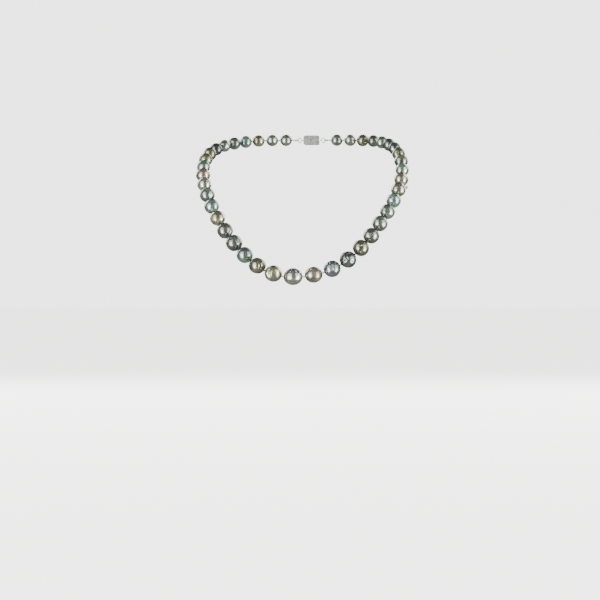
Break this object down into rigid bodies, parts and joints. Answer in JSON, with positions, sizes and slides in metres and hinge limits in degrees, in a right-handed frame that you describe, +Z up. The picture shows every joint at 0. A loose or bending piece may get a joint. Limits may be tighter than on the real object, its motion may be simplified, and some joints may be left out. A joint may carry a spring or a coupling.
{
  "type": "pearl necklace",
  "caption": "Graded strand of dark round pearls on knotted silk, closed by a silver box clasp; worn round the neck.",
  "frame": {"origin": "the middle of the neck that the strand goes round, halfway between its front and back and its lowest and highest point", "axes": "+Z up along the neck, -Y to the front where the largest pearl hangs, +Y to the nape with the clasp, +X to the viewer's right"},
  "size_m": [0.1295, 0.1313, 0.096],
  "materials": {
    "pearl_silver": "polished nacre with a metallic lustre",
    "pearl_green": "polished nacre with a metallic lustre",
    "pearl_olive": "polished nacre with a metallic lustre",
    "pearl_aqua": "polished nacre with a metallic lustre",
    "pearl_rose": "polished nacre with a metallic lustre",
    "pearl_peacock": "polished nacre with a metallic lustre",
    "pearl_champagne": "polished nacre with a metallic lustre",
    "pearl_grey": "polished nacre with a metallic lustre",
    "pearl_slate": "polished nacre with a metallic lustre",
    "silver_metal": "polished rhodium-plated silver",
    "silk": "twisted silk thread"
  },
  "bodies": {
    "centre_pearl": {"centre_pearl": "pearl_silver"},
    "pearls_left_01_to_02": {"pearl_left_01": "pearl_champagne", "pearl_left_02": "pearl_olive"},
    "pearls_left_03_to_04": {"pearl_left_03": "pearl_peacock", "pearl_left_04": "pearl_grey"},
    "pearls_left_05_to_07": {"pearl_left_05": "pearl_grey", "pearl_left_06": "pearl_champagne", "pearl_left_07": "pearl_aqua"},
    "pearls_left_08_to_12": {"pearl_left_08": "pearl_green", "pearl_left_09": "pearl_silver", "pearl_left_10": "pearl_rose", "pearl_left_11": "pearl_aqua", "pearl_left_12": "pearl_olive"},
    "pearls_left_13_to_14": {"pearl_left_13": "pearl_olive", "pearl_left_14": "pearl_slate"},
    "pearls_left_15_to_16": {"pearl_left_15": "pearl_green", "pearl_left_16": "pearl_grey"},
    "pearls_left_17_to_18": {"pearl_left_17": "pearl_aqua", "pearl_left_18": "pearl_olive"},
    "pearls_left_19_to_20": {"pearl_left_19": "pearl_green", "pearl_left_20": "pearl_grey", "bullion_loop_left": "silver_metal", "silk_loop_left": "silk"},
    "jump_ring_left": {"jump_ring_left": "silver_metal"},
    "clasp_box": {"clasp_casing": "silver_metal", "clasp_cover": "silver_metal", "casing_loop": "silver_metal"},
    "pearls_right_01_to_02": {"pearl_right_01": "pearl_rose", "pearl_right_02": "pearl_peacock"},
    "pearls_right_03_to_04": {"pearl_right_03": "pearl_slate", "pearl_right_04": "pearl_olive"},
    "pearls_right_05_to_07": {"pearl_right_05": "pearl_grey", "pearl_right_06": "pearl_green", "pearl_right_07": "pearl_green"},
    "pearls_right_08_to_12": {"pearl_right_08": "pearl_aqua", "pearl_right_09": "pearl_champagne", "pearl_right_10": "pearl_champagne", "pearl_right_11": "pearl_green", "pearl_right_12": "pearl_grey", "tag_ring": "silver_metal"},
    "pearls_right_13_to_14": {"pearl_right_13": "pearl_olive", "pearl_right_14": "pearl_slate"},
    "pearls_right_15_to_16": {"pearl_right_15": "pearl_slate", "pearl_right_16": "pearl_green"},
    "pearls_right_17_to_18": {"pearl_right_17": "pearl_grey", "pearl_right_18": "pearl_olive"},
    "pearls_right_19_to_20": {"pearl_right_19": "pearl_silver", "pearl_right_20": "pearl_green", "bullion_loop_right": "silver_metal", "silk_loop_right": "silk"},
    "jump_ring_right": {"jump_ring_right": "silver_metal"},
    "clasp_tongue": {"tongue_end_plate": "silver_metal", "tongue_lower_leaf": "silver_metal", "tongue_loop": "silver_metal"},
    "tongue_spring": {"tongue_spring_leaf": "silver_metal", "thumb_tab": "silver_metal"},
    "silver_tag": {"silver_tag": "silver_metal"}
  },
  "joints": [
    {"name": "open_left_arm", "type": "hinge", "parent": "centre_pearl", "child": "pearls_left_01_to_02", "pos_m": [-0.01176, -0.05842, -0.04336], "axis": [0, 0, 1], "range_deg": [0, 9.6]},
    {"name": "knot_left_03", "type": "hinge", "parent": "pearls_left_01_to_02", "child": "pearls_left_03_to_04", "pos_m": [-0.03066, -0.04899, -0.03398], "axis": [0, 0, 1], "range_deg": [0, 12.37]},
    {"name": "knot_left_05", "type": "hinge", "parent": "pearls_left_03_to_04", "child": "pearls_left_05_to_07", "pos_m": [-0.04346, -0.03707, -0.01962], "axis": [0, 0, 1], "range_deg": [0, 13.04]},
    {"name": "knot_left_08", "type": "hinge", "parent": "pearls_left_05_to_07", "child": "pearls_left_08_to_12", "pos_m": [-0.056, -0.01723, 0.00273], "axis": [0, 0, 1], "range_deg": [0, 11.63]},
    {"name": "knot_left_13", "type": "hinge", "parent": "pearls_left_08_to_12", "child": "pearls_left_13_to_14", "pos_m": [-0.05824, 0.02364, 0.03098], "axis": [0, 0, 1], "range_deg": [-1.86, 0]},
    {"name": "knot_left_15", "type": "hinge", "parent": "pearls_left_13_to_14", "child": "pearls_left_15_to_16", "pos_m": [-0.051, 0.03993, 0.03741], "axis": [0, 0, 1], "range_deg": [-6.28, 0]},
    {"name": "knot_left_17", "type": "hinge", "parent": "pearls_left_15_to_16", "child": "pearls_left_17_to_18", "pos_m": [-0.03897, 0.05332, 0.04103], "axis": [0, 0, 1], "range_deg": [-9.57, 0]},
    {"name": "knot_left_19", "type": "hinge", "parent": "pearls_left_17_to_18", "child": "pearls_left_19_to_20", "pos_m": [-0.02315, 0.06132, 0.04265], "axis": [0, 0, 1], "range_deg": [-12.09, 0]},
    {"name": "jump_ring_left_swing", "type": "hinge", "parent": "pearls_left_19_to_20", "child": "jump_ring_left", "pos_m": [-0.00292, 0.06244, 0.04291], "axis": [0, 0, 1], "range_deg": [-10.12, 0]},
    {"name": "clasp_box_swing", "type": "hinge", "parent": "jump_ring_left", "child": "clasp_box", "pos_m": [-0.00024, 0.06216, 0.04289], "axis": [0, 0, 1], "range_deg": [-6.97, 0]},
    {"name": "open_right_arm", "type": "hinge", "parent": "centre_pearl", "child": "pearls_right_01_to_02", "pos_m": [0.00088, -0.05957, -0.04357], "axis": [0, 0, 1], "range_deg": [-10.5, 0]},
    {"name": "knot_right_03", "type": "hinge", "parent": "pearls_right_01_to_02", "child": "pearls_right_03_to_04", "pos_m": [0.02271, -0.05613, -0.0365], "axis": [0, 0, 1], "range_deg": [-13.3, 0]},
    {"name": "knot_right_05", "type": "hinge", "parent": "pearls_right_03_to_04", "child": "pearls_right_05_to_07", "pos_m": [0.03805, -0.04689, -0.02283], "axis": [0, 0, 1], "range_deg": [-13.3, 0]},
    {"name": "knot_right_08", "type": "hinge", "parent": "pearls_right_05_to_07", "child": "pearls_right_08_to_12", "pos_m": [0.05295, -0.02815, -0.00095], "axis": [0, 0, 1], "range_deg": [-9.89, 0]},
    {"name": "knot_right_13", "type": "hinge", "parent": "pearls_right_08_to_12", "child": "pearls_right_13_to_14", "pos_m": [0.05976, 0.01026, 0.02995], "axis": [0, 0, 1], "range_deg": [0, 4.06]},
    {"name": "knot_right_15", "type": "hinge", "parent": "pearls_right_13_to_14", "child": "pearls_right_15_to_16", "pos_m": [0.05525, 0.02707, 0.03751], "axis": [0, 0, 1], "range_deg": [0, 6.96]},
    {"name": "knot_right_17", "type": "hinge", "parent": "pearls_right_15_to_16", "child": "pearls_right_17_to_18", "pos_m": [0.04716, 0.04317, 0.04118], "axis": [0, 0, 1], "range_deg": [0, 9.51]},
    {"name": "knot_right_19", "type": "hinge", "parent": "pearls_right_17_to_18", "child": "pearls_right_19_to_20", "pos_m": [0.03412, 0.05515, 0.04257], "axis": [0, 0, 1], "range_deg": [0, 11.3]},
    {"name": "jump_ring_right_swing", "type": "hinge", "parent": "pearls_right_19_to_20", "child": "jump_ring_right", "pos_m": [0.01463, 0.06062, 0.04287], "axis": [0, 0, 1], "range_deg": [0, 9.17]},
    {"name": "clasp_tongue_swing", "type": "hinge", "parent": "jump_ring_right", "child": "clasp_tongue", "pos_m": [0.01195, 0.0609, 0.04289], "axis": [0, 0, 1], "range_deg": [0, 6.27]},
    {"name": "spring_leaf", "type": "hinge", "parent": "clasp_tongue", "child": "tongue_spring", "pos_m": [0.00337, 0.06156, 0.04289], "axis": [0, 0, 1], "range_deg": [0, 8.5], "stiffness_Nm_per_rad": 0.002, "springref_deg": 8.5},
    {"name": "tag_swing", "type": "hinge", "parent": "pearls_right_08_to_12", "child": "silver_tag", "pos_m": [0.06112, -0.01337, 0.01154], "axis": [0, 0, 1], "range_deg": [-15, 15]}
  ],
  "couplings": [
    {"joint": "knot_left_03", "follows": "open_left_arm", "ratio": 1.2615},
    {"joint": "knot_left_05", "follows": "open_left_arm", "ratio": 1.3293},
    {"joint": "knot_left_08", "follows": "open_left_arm", "ratio": 1.1859},
    {"joint": "knot_left_13", "follows": "open_left_arm", "ratio": -0.1882},
    {"joint": "knot_left_15", "follows": "open_left_arm", "ratio": -0.639},
    {"joint": "knot_left_17", "follows": "open_left_arm", "ratio": -0.9754},
    {"joint": "knot_left_19", "follows": "open_left_arm", "ratio": -1.2329},
    {"joint": "jump_ring_left_swing", "follows": "open_left_arm", "ratio": -1.0311},
    {"joint": "clasp_box_swing", "follows": "open_left_arm", "ratio": -0.7102},
    {"joint": "knot_right_03", "follows": "open_right_arm", "ratio": 1.2399},
    {"joint": "knot_right_05", "follows": "open_right_arm", "ratio": 1.2404},
    {"joint": "knot_right_08", "follows": "open_right_arm", "ratio": 0.9216},
    {"joint": "knot_right_13", "follows": "open_right_arm", "ratio": -0.3771},
    {"joint": "knot_right_15", "follows": "open_right_arm", "ratio": -0.6476},
    {"joint": "knot_right_17", "follows": "open_right_arm", "ratio": -0.8862},
    {"joint": "knot_right_19", "follows": "open_right_arm", "ratio": -1.053},
    {"joint": "jump_ring_right_swing", "follows": "open_right_arm", "ratio": -0.8546},
    {"joint": "clasp_tongue_swing", "follows": "open_right_arm", "ratio": -0.5832}
  ]
}
